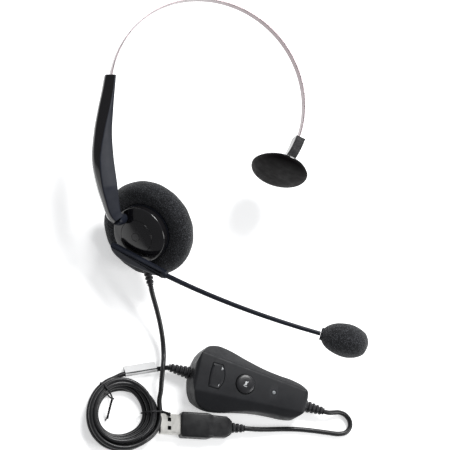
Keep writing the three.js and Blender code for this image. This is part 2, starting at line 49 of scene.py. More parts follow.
# ---- the design's driving dimensions, in mm ----
BAND = dict(x=-23.3, y=70.2, z=38.1, r=62.3, thick=0.8, width=5.6, start=-30.0, end=187.0)
CUP = dict(x=-68.0, y=-20.5, z=35.6, lean=0.55, up=128.0)
BOX = dict(x=12.3, y=-104.1, turn=-12.4, half=37.2, split=7.0, cord=5.0)
USB = dict(x=-30.4, y=-128.4, z=4.0)
COIL = dict(x=-66.0, y=-124.0)
LABEL = dict(x=-54.6, y=-96.4, z=2.25, turn=12.4, length=20.4, r=1.62)
HOUSING = dict(r=17.5, crown=0.2, fall=4.2)
CUSHION = dict(r=30.0, tube=7.2, middle=-16.6, inner=10.0)
DISH_R = 10.5
ROCKER = dict(x=-23.0, half=7.75)
CORD_D = 3.0
RELIEF = dict(angle=-119.6, tip=32.8, depth=-6.0)
STUB = dict(offset=4.5)
BOOM = dict(angle=-57.0, side=-13.0, root=26.0, reach=106.5, bend=0.4)
MIC = dict(length=29.0, r=10.0)
PAD = dict(half=27.6, across=17.0, plate=1.8, facing=246.8, x=24.0, y=30.0)
MUTE_X = -4.5
LED_X = 14.5


def spot(x, y, z=0.0):
    """A place in the design's millimetres, as a frame position in metres."""
    return (Vector((x, y, z)) + SHIFT) * MM


def cup_matrix():
    a = math.radians(CUP["up"])
    up = Vector((math.cos(a), math.sin(a), 0.0))
    flat = math.sqrt(1.0 - CUP["lean"] ** 2)
    out = Vector((-up.y * flat, up.x * flat, CUP["lean"]))
    across = up.cross(out)
    turn = Matrix((across, up, out)).transposed().to_4x4()
    return Matrix.Translation(Vector((CUP["x"], CUP["y"], CUP["z"]))) @ turn


def box_matrix():
    return Matrix.Translation((BOX["x"], BOX["y"], 0.0)) @ Matrix.Rotation(math.radians(BOX["turn"]), 4, "Z")


TO_FRAME = Matrix.Scale(MM, 4) @ Matrix.Translation(SHIFT)
IN_CUP = TO_FRAME @ cup_matrix()
IN_BOX = TO_FRAME @ box_matrix()
IN_PLUG = TO_FRAME @ Matrix.Translation((USB["x"], USB["y"], USB["z"]))


# ---- camera: steep, from beyond the ear cup, through a long lens ----
def make_camera():
    back = Vector((-0.292, -0.2306, 0.93)).normalized()
    right = Vector((0.954, 0.0, 0.30))
    right = (right - back * right.dot(back)).normalized()
    up = back.cross(right)
    reach = 2.4
    seen = 0.2795
    camera = bpy.data.cameras.new("camera")
    camera.sensor_width = 36.0
    camera.lens = camera.sensor_width * reach / seen
    camera.clip_end = 20.0
    thing = bpy.data.objects.new("camera", camera)
    turn = Matrix((right, up, back)).transposed().to_4x4()
    thing.matrix_world = Matrix.Translation(spot(0.0, 0.0) + back * reach) @ turn
    bpy.context.scene.collection.objects.link(thing)
    bpy.context.scene.camera = thing


make_camera()


# ---- materials: every one is procedural, with grain and colour variation; many also have worn edges ----
def surface(slot, color, rough, grain=(900.0, 0.05), mottle=0.15, metal=0.0, coat=0.0, specks=None, wear=0.0,
            rough_spread=0.08, bump_depth=0.00006, sheen=0.0, specular=0.5):
    """A Principled material: coarse mottling in colour and roughness, a fine grain in bump, worn edges."""
    material = bpy.data.materials.new(slot)
    material.use_nodes = True
    nodes = material.node_tree.nodes
    links = material.node_tree.links
    shader = nodes["Principled BSDF"]
    shader.inputs["Metallic"].default_value = metal
    shader.inputs["Coat Weight"].default_value = coat
    shader.inputs["Coat Roughness"].default_value = 0.12
    shader.inputs["Specular IOR Level"].default_value = specular
    shader.inputs["Sheen Weight"].default_value = sheen
    place = nodes.new("ShaderNodeTexCoord").outputs["Object"]

    def noise_node(scale, detail=4.0):
        made = nodes.new("ShaderNodeTexNoise")
        made.inputs["Scale"].default_value = scale
        made.inputs["Detail"].default_value = detail
        links.new(place, made.inputs["Vector"])
        return made.outputs["Fac"]

    def remap(value, low, high, start=0.3, end=0.7):
        made = nodes.new("ShaderNodeMapRange")
        made.inputs["From Min"].default_value = start
        made.inputs["From Max"].default_value = end
        made.inputs["To Min"].default_value = low
        made.inputs["To Max"].default_value = high
        links.new(value, made.inputs["Value"])
        return made.outputs["Result"]

    def blend(factor, first, second):
        made = nodes.new("ShaderNodeMix")
        made.data_type = "RGBA"
        links.new(factor, made.inputs["Factor"])
        for socket, value in ((made.inputs[6], first), (made.inputs[7], second)):
            if isinstance(value, tuple):
                socket.default_value = (*value, 1.0)
            else:
                links.new(value, socket)
        return made.outputs[2]

    dark = tuple(c * (1.0 - mottle) for c in color)
    light = tuple(min(1.0, c * (1.0 + mottle)) for c in color)
    tint = blend(remap(noise_node(90.0), 0.0, 1.0), dark, light)
    if specks:
        speck_color, speck_scale, share = specks
        chosen = remap(noise_node(speck_scale, 1.0), 0.0, 1.0, share, share + 0.06)
        tint = blend(chosen, tint, speck_color)
    if wear:
        edge = remap(nodes.new("ShaderNodeNewGeometry").outputs["Pointiness"], 0.0, wear, 0.52, 0.6)
        tint = blend(edge, tint, tuple(min(1.0, c * 2.2 + 0.03) for c in color))
    links.new(tint, shader.inputs["Base Color"])
    low = max(0.02, rough - rough_spread)
    links.new(remap(noise_node(220.0), low, rough + rough_spread), shader.inputs["Roughness"])
    bump = nodes.new("ShaderNodeBump")
    bump.inputs["Strength"].default_value = grain[1]
    bump.inputs["Distance"].default_value = bump_depth
    links.new(noise_node(grain[0], 3.0), bump.inputs["Height"])
    links.new(bump.outputs["Normal"], shader.inputs["Normal"])
    return material


MATERIALS = {
    "polished_steel": surface("polished_steel", (0.20, 0.165, 0.172), 0.24, (2600.0, 0.12), 0.05, metal=1.0),
    "plug_steel": surface("plug_steel", (0.60, 0.59, 0.56), 0.34, (3000.0, 0.25), 0.06, metal=0.85),
    "small_steel": surface("small_steel", (0.50, 0.50, 0.51), 0.32, (2600.0, 0.3), 0.10, metal=1.0),
    "gloss_black": surface("gloss_black", (0.004, 0.0036, 0.0045), 0.15, (1500.0, 0.10), 0.25, coat=0.14,
                           wear=0.2, rough_spread=0.05, specular=0.4),
    "satin_black": surface("satin_black", (0.009, 0.011, 0.018), 0.40, (2600.0, 0.5), 0.15, wear=0.2,
                           specular=0.22),
    "box_grey": surface("box_grey", (0.012, 0.0125, 0.0145), 0.46, (3200.0, 0.8), 0.10, wear=0.2,
                        specular=0.22),
    "foam": surface("foam", (0.009, 0.0095, 0.011), 0.95, (1500.0, 1.0), 0.35, sheen=0.2, bump_depth=0.0006,
                    specks=((0.060, 0.063, 0.070), 1900.0, 0.55), specular=0.15),
    "pad_rubber": surface("pad_rubber", (0.003, 0.0022, 0.0025), 0.60, (2000.0, 0.5), 0.2, wear=0.1,
                          specular=0.05),
    "cord_jacket": surface("cord_jacket", (0.006, 0.006, 0.007), 0.34, (2600.0, 0.4), 0.12, wear=0.2,
                           specular=0.4),
    "relief_rubber": surface("relief_rubber", (0.011, 0.011, 0.013), 0.46, (2600.0, 0.5), 0.15, wear=0.25,
                             specular=0.3),
    "label_paper": surface("label_paper", (0.70, 0.70, 0.70), 0.62, (1800.0, 0.4), 0.02),
    "board_green": surface("board_green", (0.015, 0.11, 0.05), 0.4, (1800.0, 0.3), 0.2),
    "light_pipe": surface("light_pipe", (0.20, 0.21, 0.22), 0.28, (1800.0, 0.2), 0.1, coat=0.4),
    "button_black": surface("button_black", (0.013, 0.013, 0.015), 0.32, (2600.0, 0.4), 0.12, wear=0.25,
                            specular=0.4),
    "tie_wire": surface("tie_wire", (0.010, 0.010, 0.012), 0.38, (2400.0, 0.4), 0.15, specular=0.35),
    "print_white": surface("print_white", (0.50, 0.51, 0.52), 0.5, (2400.0, 0.3), 0.06),
}


def dress_cad_nodes():
    for row in frame["record"]["subparts"]:
        node = frame["nodes"][row["node"]]
        node.data.materials.clear()
        node.data.materials.append(MATERIALS[row["material_slot"]])


dress_cad_nodes()


# ---- mesh helpers ----
def finish_piece(name, mesh, body, slot, replaces=(), smooth=40.0, look=None):
    """Links a new piece, smooths it up to an angle, and lets it ride on its body."""
    piece = bpy.data.objects.new(name, mesh)
    bpy.context.scene.collection.objects.link(piece)
    mesh.materials.append(MATERIALS[look or slot])
    shade(mesh, smooth)
    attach(piece, body)
    if replaces:
        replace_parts(piece, *replaces)
    return piece


def shade(mesh, angle):
    """Smooth shading, with sharp edges where faces meet at more than the angle."""
    skin = bmesh.new()
    skin.from_mesh(mesh)
    bmesh.ops.remove_doubles(skin, verts=skin.verts, dist=1e-7)
    bmesh.ops.recalc_face_normals(skin, faces=skin.faces)
    limit = math.radians(angle)
    for face in skin.faces:
        face.smooth = True
    for edge in skin.edges:
        edge.smooth = len(edge.link_faces) == 2 and edge.calc_face_angle(0.0) < limit
    skin.to_mesh(mesh)
    skin.free()


def rings_mesh(name, rings, matrix=None, cap=True, closed=True):
    """A skin over rings of equally many points, in mm, placed by matrix."""
    matrix = matrix or TO_FRAME
    n = len(rings[0])
    verts = [matrix @ Vector(p) for ring in rings for p in ring]
    faces = []
    for k in range(len(rings) - 1):
        for i in range(n if closed else n - 1):
            a, b = k * n + i, k * n + (i + 1) % n
            faces.append((a, b, b + n, a + n))
    if cap:
        faces.append(tuple(reversed(range(n))))
        faces.append(tuple(range((len(rings) - 1) * n, len(rings) * n)))
    mesh = bpy.data.meshes.new(name)
    mesh.from_pydata(verts, [], faces)
    return mesh


def spun(name, profile, matrix, sides=72, wobble=None):
    """A solid of revolution about the local Z from [radius, z] pairs that start and end on the axis or meet."""
    rings = []
    for i in range(sides):
        a = 2.0 * math.pi * i / sides
        ring = [(r * math.cos(a), r * math.sin(a), z) for r, z in profile]
        rings.append([wobble(p) if wobble else p for p in ring])
    rings.append(rings[0])
    return rings_mesh(name, rings, matrix, cap=False, closed=False)


def rounded(profile, radius, steps=4):
    """The profile with each inner corner replaced by a short arc of about that radius."""
    out = [profile[0]]
    for k in range(1, len(profile) - 1):
        a, b, c = (Vector((*p, 0.0)) for p in profile[k - 1:k + 2])
        trim = min(radius, (a - b).length * 0.45, (c - b).length * 0.45)
        start, end = b + (a - b).normalized() * trim, b + (c - b).normalized() * trim
        for i in range(steps + 1):
            t = i / steps
            p = start * (1 - t) ** 2 + b * 2 * t * (1 - t) + end * t * t
            out.append((p.x, p.y))
    out.append(profile[-1])
    return out


def catmull(points, per=8):
    """Points along a smooth centripetal curve through the given ones."""
    pts = [Vector(p) for p in points]
    pts = [pts[0] * 2 - pts[1], *pts, pts[-1] * 2 - pts[-2]]
    out = []
    for i in range(1, len(pts) - 2):
        p = pts[i - 1:i + 3]
        t = [0.0]
        for k in range(3):
            t.append(t[-1] + max((p[k + 1] - p[k]).length, 1e-9) ** 0.5)
        for s in range(per):
            u = t[1] + (t[2] - t[1]) * s / per
            a = [p[k] * ((t[k + 1] - u) / (t[k + 1] - t[k])) + p[k + 1] * ((u - t[k]) / (t[k + 1] - t[k]))
                 for k in range(3)]
            b = [a[k] * ((t[k + 2] - u) / (t[k + 2] - t[k])) + a[k + 1] * ((u - t[k]) / (t[k + 2] - t[k]))
                 for k in range(2)]
            out.append(b[0] * ((t[2] - u) / (t[2] - t[1])) + b[1] * ((u - t[1]) / (t[2] - t[1])))
    out.append(pts[-2])
    return out


def round_tube(name, points, radius, matrix, sides=16):
    """A mesh tube along points in mm; radius is a number or a function of the share of the way."""
    width = radius if callable(radius) else (lambda share: radius)
    rings = []
    side = None
    for k, p in enumerate(points):
        along = (points[min(k + 1, len(points) - 1)] - points[max(k - 1, 0)]).normalized()
        if side is None:
            side = along.orthogonal().normalized()
        side = (side - along * side.dot(along)).normalized()
        other = along.cross(side)
        r = width(k / (len(points) - 1))
        ring = []
        for i in range(sides):
            a = 2.0 * math.pi * i / sides
            ring.append(p + side * (r * math.cos(a)) + other * (r * math.sin(a)))
        rings.append(ring)
    return rings_mesh(name, rings, matrix)


# ---- cords: the routes of part.mjs, with the coil's turns worked out between them ----
TO_COIL = [
    (-47.4, -59, 11.6), (-43.8, -68, 7.6), (-41.4, -77.4, 4.9), (-40.9, -86.4, 5), (-41.8, -92, 7.2),
    (-42.4, -97, 7.6), (-42.5, -103, 5.9), (-42.5, -108.4, 4.6), (-43.3, -113.6, 4.2),
]
FROM_COIL = [
    (-66.5, -98.9, 1.9), (-61, -97.8, 2.2), (-55, -96.5, 2.2), (-49, -95.2, 2.2), (-43.8, -94.2, 2.4),
    (-37.6, -93.3, 4.9),
]
TO_PLUG = [
    (62.0, -115.1, 5), (65.6, -115.6, 4.6), (69, -115.2, 3.8), (73, -114.7, 2.9), (77.2, -115.8, 2.1),
    (80.2, -119, 1.7), (80.6, -123.2, 1.6), (78, -126.7, 1.6), (73.6, -128, 1.6), (66, -127.6, 1.6),
    (56, -126.9, 1.6), (46, -126.6, 1.6), (36, -127, 1.7), (27, -127.8, 2.4), (20, -128.3, 3.3),
    (14.4, -128.4, 3.9), (11.2, -128.4, 4),
]


def past_relief(distance):
    """A place past the tip of the cup's strain relief, in the design's mm."""
    a = math.radians(RELIEF["angle"])
    out = RELIEF["tip"] + distance
    return cup_matrix() @ Vector((out * math.cos(a), out * math.sin(a), RELIEF["depth"]))


def coil_turns():
    """The coil, wound clockwise: each turn lies beside or on the last, a cord's width away."""
    seats = [(21.3, 6.9), (18.2, 7.0), (19.7, 4.3), (16.6, 4.3), (15.0, 1.6), (18.1, 1.6), (21.2, 1.6)]
    first, last = 8.0, 104.0 - 360.0 * 7
    steps = 36 * 7
    points = []
    for i in range(steps + 1):
        angle = first + (last - first) * i / steps
        turns = (first - angle) / 360.0
        k = min(int(turns), len(seats) - 1)
        after = min(k + 1, len(seats) - 1)
        share = min(max((turns - k - 0.72) / 0.28, 0.0), 1.0)
        share = share * share * (3.0 - 2.0 * share)
        r = seats[k][0] + (seats[after][0] - seats[k][0]) * share
        z = seats[k][1] + (seats[after][1] - seats[k][1]) * share
        arriving = max(0.0, 1.0 - turns / 0.16)
        leaving = max(0.0, 1.0 - (first - last - (first - angle)) / 90.0)
        r += 1.2 * arriving + 3.0 * leaving ** 2
        z -= 2.4 * arriving
        a = math.radians(angle)
        inner = (21.3 - r) / 6.3
        r += 0.5 * math.sin(2 * a + 0.6) + 0.3 * math.sin(3 * a + 2.0)
        x = COIL["x"] - 1.5 * inner + r * math.cos(a)
        y = COIL["y"] + 1.3 * inner + r * math.sin(a)
        points.append((x, y, z))
    return points


def cord_curve(name, points):
    """A round cord along points in mm, as one curve."""
    curve = bpy.data.curves.new(name, "CURVE")
    curve.dimensions = "3D"
    curve.bevel_depth = CORD_D / 2 * MM
    curve.bevel_resolution = 4
    curve.use_fill_caps = True
    spline = curve.splines.new("POLY")
    spline.points.add(len(points) - 1)
    for k, p in enumerate(points):
        spline.points[k].co = (*(TO_FRAME @ p), 1.0)
    spline.use_smooth = True
    curve.materials.append(MATERIALS["cord_jacket"])
    cord = bpy.data.objects.new(name, curve)
    bpy.context.scene.collection.objects.link(cord)
    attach(cord, "earcup")
    return cord


HEADSET_WAY = catmull([past_relief(-1.0), past_relief(5.0), *TO_COIL, *coil_turns(), *FROM_COIL], 5)
PLUG_WAY = catmull(TO_PLUG, 8)


def make_cords():
    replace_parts(cord_curve("headset_cord", HEADSET_WAY), "cord_cup_to_coil", "cord_coil", "cord_coil_to_box")
    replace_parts(cord_curve("plug_cord", PLUG_WAY), "cord_box_to_plug")


def declare_cords():
    """Builds a list of the twist ties' piece names; nothing uses the list."""
    ties = [f"tie_loop_{k}" for k in (1, 2)]
    ties += [f"tie_tail_{k}_{strand}" for k in (1, 2) for strand in (1, 2)]


make_cords()


# ---- headband ----
def make_band():
    """The steel strip, with eased edges."""
    half, wide, ease = BAND["thick"] / 2, BAND["width"] / 2, 0.2
    section = [(-half + ease, -wide), (half - ease, -wide), (half, -wide + ease), (half, wide - ease),
               (half - ease, wide), (-half + ease, wide), (-half, wide - ease), (-half, -wide + ease)]
    steps = 200
    rings = []
    for i in range(steps + 1):
        a = math.radians(BAND["start"] + (BAND["end"] - BAND["start"]) * i / steps)
        rings.append([(BAND["x"] + (BAND["r"] + s) * math.cos(a), BAND["y"] + (BAND["r"] + s) * math.sin(a),
                       BAND["z"] + h) for s, h in section])
    finish_piece("headband", rings_mesh("headband", rings), "headband", "polished_steel", ["headband_strip"])


# ---- arm: a glossy facet beside a satin one in front, and a glossy back; both halves are solid inside ----
ARM_LINE = [(-85.9, 78.5, 6.2), (-87.2, 68, 7.2), (-88.8, 56, 8.8), (-90.2, 42, 10.4), (-90.1, 26, 12.4),
            (-87.6, 11.5, 11.6), (-85.2, 1, 9.6)]
ARM_FOOT = [(19, 8), (14.8, 7)]


def smooth_step(x, low, high):
    t = min(max((x - low) / (high - low), 0.0), 1.0)
    return t * t * (3.0 - 2.0 * t)


def make_arm():
    foot = []
    for along, thick in ARM_FOOT:
        p = cup_matrix() @ Vector((0.0, along, STUB["offset"]))
        foot.append((p.x, p.y, thick))
    line = catmull([*ARM_LINE, *foot], 12)
    front, back = [], []
    for k, p in enumerate(line):
        u = k / (len(line) - 1)
        ahead, behind = line[min(k + 1, len(line) - 1)], line[max(k - 1, 0)]
        along = Vector((ahead.x - behind.x, ahead.y - behind.y, 0.0)).normalized()
        inward = Vector((-along.y, along.x, 0.0))
        half = p.z / 2
        deep = 6.0 - 1.8 * max(0.0, 3.0 * u - 2.0)
        ridge = half * (0.62 - 1.5 * smooth_step(u, 0.05, 0.74))
        drop = 3.6 - 2.4 * smooth_step(u, 0.55, 0.8)
        top = [(-half, 0.15), (-half, deep - drop), (ridge, deep), (half - 0.2, deep - 0.7), (half, 0.15)]
        low = [(half, -0.15), (half - 0.2, -deep + 0.3), (-half + 1.0, -deep + 0.2), (-half, -0.15)]
        for rings, outline in ((front, top), (back, low)):
            rings.append([(p.x + inward.x * a, p.y + inward.y * a, BAND["z"] + w)
                          for a, w in rounded(outline, 0.8, 3)])
    mesh = rings_mesh("arm_front", front)
    n = len(front[0])
    for face in mesh.polygons:
        if face.index < n * (len(front) - 1) and face.index % n < 6:
            face.material_index = 1
    piece = finish_piece("arm_front", mesh, "arm", "satin_black", ["arm_front_shell"], 28.0)
    piece.data.materials.append(MATERIALS["gloss_black"])
    finish_piece("arm_back", rings_mesh("arm_back", back), "arm", "gloss_black", ["arm_back_shell"], 28.0)


# ---- ear cup ----
FOAM_SEED = 7
noise.seed_set(FOAM_SEED)  # noise_vector draws its offsets from this generator


def foam_wobble(amount, scale, offset):
    """Moves a point by smooth noise, for the uneven skin of foam."""
    def moved(p):
        at = Vector(p) * scale + Vector((offset, 0.0, 0.0))
        shift = noise.noise_vector(at) * amount + noise.noise_vector(at * 5.0) * amount * 0.35
        return (p[0] + shift.x, p[1] + shift.y, p[2] + shift.z)
    return moved


def dome(r):
    """The height of the ear housing's crown at a distance from its middle."""
    return HOUSING["crown"] - HOUSING["fall"] * (r / HOUSING["r"]) ** 2.6


def make_cup():
    edge = HOUSING["r"]
    crown = [(10.7 + 6.2 * i / 10, dome(10.7 + 6.2 * i / 10)) for i in range(11)]
    shell = [(0, -3.2), (10.6, -3.2), (10.6, dome(10.6) - 0.12), *crown, (17.3, -4.05), (edge, -4.6),
             (17.1, -9.0), (15.9, -9.0), (15.9, -4.3), (13.4, -4.9), (0, -4.9)]
    housing = spun("cup_housing", shell, IN_CUP, 96)
    finish_piece("cup_housing", housing, "earcup", "gloss_black", ["housing_shell"], 35.0)

    neck = catmull([(0, 14.9, 4.5), (0, 14.4, 4.1), (0, 13.9, 3.1), (0, 13.5, 1.5), (0, 13.4, -2.6)], 8)
    tube = round_tube("swivel_neck", neck, lambda share: 3.4 - 0.7 * share, IN_CUP, 28)
    finish_piece("swivel_neck", tube, "earcup", "satin_black", ["swivel_stub"])

    dish = [(2.6, -3.05), (2.6, dome(2.6) - 0.08)]
    dish += [(2.7 + 7.7 * i / 14, dome(2.7 + 7.7 * i / 14)) for i in range(15)]
    dish += [(DISH_R, dome(DISH_R) - 0.12), (DISH_R, -3.05), (2.6, -3.05)]
    turntable = spun("boom_dish", dish, IN_CUP, 96)
    finish_piece("boom_dish", turntable, "boom", "satin_black", ["boom_turntable"], 35.0, look="gloss_black")
    cap = [(0, dome(0)), (1.2, dome(1.2)), (2.4, dome(2.4)), (2.5, dome(2.5) - 0.1), (2.5, -4.4), (0, -4.4)]
    finish_piece("pivot_cap", spun("pivot_cap", cap, IN_CUP, 40), "earcup", "small_steel", ["boom_pivot_screw"],
                 look="gloss_black")

    r, tube_r, mid, inner = CUSHION["r"], CUSHION["tube"], CUSHION["middle"], CUSHION["inner"]
    ring = []
    steps = 30
    for i in range(steps + 1):
        a = math.pi / 2 - math.pi * i / steps
        ring.append((r - tube_r + tube_r * math.cos(a), mid + tube_r * math.sin(a)))
    face = [(inner + 9, mid - tube_r - 0.25), (inner + 5, mid - tube_r + 0.1), (inner + 2, mid - tube_r + 1.2),
            (inner + 0.4, mid - tube_r + 3), (inner, mid), (inner, -10.7), (edge + 0.6, -10.7),
            (edge + 0.6, -10.0)]
    rim = [(edge + 1.6, mid + tube_r - 0.6), (edge + 3.4, mid + tube_r - 0.1)]
    profile = [*ring, *face, *rim, ring[0]]
    foam = spun("cushion_foam", profile, IN_CUP, 160, foam_wobble(0.28, 0.16, 3.0))
    piece = finish_piece("cushion_foam", foam, "earcup", "foam", ["ear_cushion"], 80.0)


# ---- boom ----
def inset(outline, amount):
    """The closed outline moved inwards, point by point."""
    n = len(outline)
    out = []
    for k in range(n):
        a, b = Vector(outline[k - 1]), Vector(outline[(k + 1) % n])
        t = (b - a).normalized()
        out.append((outline[k][0] - t.y * amount, outline[k][1] + t.x * amount))
    return out


def crowned(name, outline, levels, matrix):
    """A slab over a closed outline that runs anticlockwise; levels are (height, inset) from the bottom."""
    rings = [[(x, y, z) for x, y in inset(outline, amount)] for z, amount in levels]
    return rings_mesh(name, rings, matrix)


def bezier(a, b, c, d, steps):
    """Points from a towards d, without d itself, along a cubic curve."""
    out = []
    for i in range(steps):
        t = i / steps
        shares = ((1 - t) ** 3, 3 * t * (1 - t) ** 2, 3 * t * t * (1 - t), t ** 3)
        out.append(tuple(sum(share * p[k] for share, p in zip(shares, (a, b, c, d))) for k in range(2)))
    return out


IN_BOOM = IN_CUP @ Matrix.Rotation(math.radians(BOOM["angle"]), 4, "Z")


def make_boom():
    side, root = BOOM["side"], BOOM["root"]
    upper = [(root + (-10.3 - root) * i / 30, side + 2.2 + 1.5 * i / 30) for i in range(31)]
    lower = bezier((root, side - 2.2), (18, side - 3.2), (8, -17.2), (0, -17.2), 24)
    left = bezier((0, -17.2), (-7, -17.2), (-12.5, -14.5), (-13.6, side + 2.8), 16)
    outline = [*upper, (-13.0, side + 3.3), *left[::-1], *lower[::-1]]
    levels = [(0.45, 0.3), (0.8, 0.0), (2.8, 0.0), (3.8, 0.3), (4.4, 0.75), (4.7, 1.25), (4.8, 1.75)]
    blade = crowned("boom_blade", outline, levels, IN_BOOM)
    finish_piece("boom_blade", blade, "boom", "gloss_black", ["boom_root"], 50.0, look="satin_black")
    lift = 2.6
    collar = [(0, root - 2), (2.4, root - 2), (2.3, root + 0.6), (1.9, root + 1.4), (0, root + 1.4)]
    ferrule = rounded(collar, 0.4, 3)
    lying = IN_BOOM @ Matrix.Translation((0, side, lift)) @ Matrix.Rotation(math.pi / 2, 4, "Y")
    finish_piece("boom_ferrule", spun("boom_ferrule", ferrule, lying, 32), "boom", "satin_black")

    start, reach, bend = root - 7, BOOM["reach"], BOOM["bend"]
    steps = 60
    path = []
    for i in range(steps + 1):
        x = reach * i / steps
        past = max(0.0, x - 7)
        path.append(Vector((start + x, side, lift - bend * past * past / (2 * reach))))
    finish_piece("boom_stem", round_tube("boom_stem", path, lambda share: 1.6 - 0.25 * share, IN_BOOM, 20),
                 "boom", "satin_black", ["boom_tube"])

    tip = IN_BOOM @ Matrix.Translation(path[-1]) @ Matrix.Rotation(math.atan(bend), 4, "Y")
    along = tip @ Matrix.Rotation(math.pi / 2, 4, "Y")
    half, rows = MIC["length"] / 2, 26
    skin = [(0, 6.7), (3.3, 6.7), (3.3, 0.9), (3.9, 0.3)]
    for i in range(3, rows + 1):
        a = math.pi - math.pi * i / rows
        swell = 1 + 0.08 * math.cos(a)
        r = 0.0 if i == rows else MIC["r"] * math.sin(a) ** 0.85 * swell
        skin.append((r, half + 0.5 + half * math.cos(a)))
    foam = spun("windscreen", skin, along, 110, foam_wobble(0.22, 0.2, 11.0))
    piece = finish_piece("windscreen", foam, "boom", "foam", ["mic_windscreen"], 80.0)


# ---- T-bar ----
PAD_TURN = Matrix.Rotation(math.radians(PAD["facing"]), 4, "Z")
IN_PAD = TO_FRAME @ Matrix.Translation((PAD["x"], PAD["y"], BAND["z"])) @ PAD_TURN


def oval_rings(stations, sides=96):
    """Ovals in the pad's frame from (x, half length, half width)."""
    rings = []
    for x, tall, wide in stations:
        rings.append([(x, wide * math.sin(2 * math.pi * i / sides), tall * math.cos(2 * math.pi * i / sides))
                      for i in range(sides)])
    return rings


def make_pad():
    half, across, plate = PAD["half"], PAD["across"], PAD["plate"]
    stations = []
    for i in range(17):
        a = 1.5 * i / 16
        size = math.cos(a) ** 0.55
        stations.append((plate + 0.3 + 4.6 * math.sin(a) ** 0.9, half * size, across * size))
    stations = [(plate + 0.1, half - 0.9, across - 0.9), *stations]
    cushion = finish_piece("pad_cushion", rings_mesh("pad_cushion", oval_rings(stations), IN_PAD), "t_pad",
                           "pad_rubber", ["t_pad_cushion"], 60.0)
    back = [(-0.6, 6, 5), (-0.5, 9, 7), (0.0, half - 5, across - 4.4), (0.35, half - 2.2, across - 2),
            (0.9, half - 1.1, across - 1.1), (1.5, half - 1.0, across - 1.0), (plate, half - 1.6, across - 1.6)]
    shell = rings_mesh("pad_back", oval_rings(back), IN_PAD)
    finish_piece("pad_back", shell, "t_pad", "gloss_black", ["t_pad_plate"], 50.0)
    lug = [[(x, y, z) for y, z in ((-2, -1.5), (2, -1.5), (2, 1.5), (-2, 1.5))] for x in (-4.6, -4.2, 0.2)]
    lug[0] = [(-4.6, y * 0.6, z) for _, y, z in lug[0]]
    finish_piece("pad_lug", rings_mesh("pad_lug", lug, IN_PAD), "t_pad", "gloss_black")


# ---- strain reliefs: tapered rubber with rounded ribs ----
def ribbed(name, length, r, tip, ribs, matrix, node, blocky=0.0):
    """A relief along the local X, from its thick end at 0."""
    profile = [(0, 0)]
    for i in range(ribs):
        x = length * i / ribs
        here = r + (tip - r) * i / ribs
        step = length / ribs
        profile += [(here - 0.25, x), (here, x + 0.12 * step), (here, x + 0.5 * step),
                    (here - 0.25, x + 0.6 * step), (here - 0.85, x + 0.64 * step),
                    (here - 0.85, x + 0.96 * step)]
    profile += [(tip, length), (0, length)]
    lying = matrix @ Matrix.Rotation(math.pi / 2, 4, "Y")

    def squared(p):
        a = math.atan2(p[1], p[0])
        grow = 1.0 + 0.25 * blocky * math.sin(2 * a) ** 2
        return (p[0] * grow, p[1] * grow, p[2])

    finish_piece(name, spun(name, profile, lying, 32, squared), "earcup", "relief_rubber", [node], 45.0)


def make_reliefs():
    turn = Matrix.Rotation(math.radians(RELIEF["angle"]), 4, "Z")
    ribbed("cup_relief", 15, 3.2, 2.1, 6, IN_CUP @ turn @ Matrix.Translation((17.8, 0, RELIEF["depth"])),
           "cup_strain_relief")
    at = BOX["half"] + 0.6
    ribbed("box_relief_in", 13, 3.6, 2.2, 5,
           IN_BOX @ Matrix.Rotation(math.pi, 4, "Z") @ Matrix.Translation((at, 0, BOX["cord"])),
           "box_strain_relief_in", 0.6)
    ribbed("box_relief_out", 13, 3.6, 2.2, 5, IN_BOX @ Matrix.Translation((at, 0, BOX["cord"])),
           "box_strain_relief_out", 0.6)
    ribbed("plug_relief", 8, 3.0, 2.1, 3, IN_PLUG @ Matrix.Translation((33.3, 0, 0)), "usb_strain_relief", 0.6)


# ---- control box: two shells with a seam, real pockets, rocker, button and marks ----
BOX_SIDE = [(-37.2, 5.2), (-35.2, 12.4), (-31, 18), (-24.6, 20.6), (-16, 19.8), (-5, 16.6), (7, 13.7),
            (17, 12.6), (25.6, 12.2), (32.4, 10.4), (36, 7), (37.2, 3.8)]


def lerp_at(points, x):
    """The height of a polyline at x."""
    for a, b in zip(points, points[1:]):
        if x <= b[0]:
            return a[1] + (b[1] - a[1]) * max(0.0, (x - a[0])) / max(b[0] - a[0], 1e-6)
    return points[-1][1]


def box_sections():
    """(x, side, base, top, upper edge, lower edge, flat) along the box, close together at its ends."""
    side_line = [(p.x, p.y) for p in catmull([(x, y, 0.0) for x, y in BOX_SIDE], 12)]
    half = BOX["half"]
    out = []
    count = 72
    for i in range(count + 1):
        x = -half * math.cos(math.pi * i / count)
        share = (x + half + 1) / (2 * half + 2)
        base, edge, top, flat = (a + (b - a) * share for a, b in ((17, 9), (24, 15), (12.6, 6.8), (17, 15.4)))
        near = min(x + half, half - x)
        fall = 2.6 * (1.0 - math.sqrt(max(0.0, 1.0 - (1.0 - min(near / 3.0, 1.0)) ** 2)))
        side = lerp_at(side_line, x)
        flat -= fall
        upper = flat - max(side - top, 0.3) * (flat - 7.5) / (edge - top)
        lower = max(side - base, 0.0) * 5 / (edge - base) + 0.4 * fall
        out.append((x, side, min(side - 0.6, base), min(side - 0.5, top), max(upper, 8.2),
                    min(lower + 0.5, 5.5), flat))
    return out


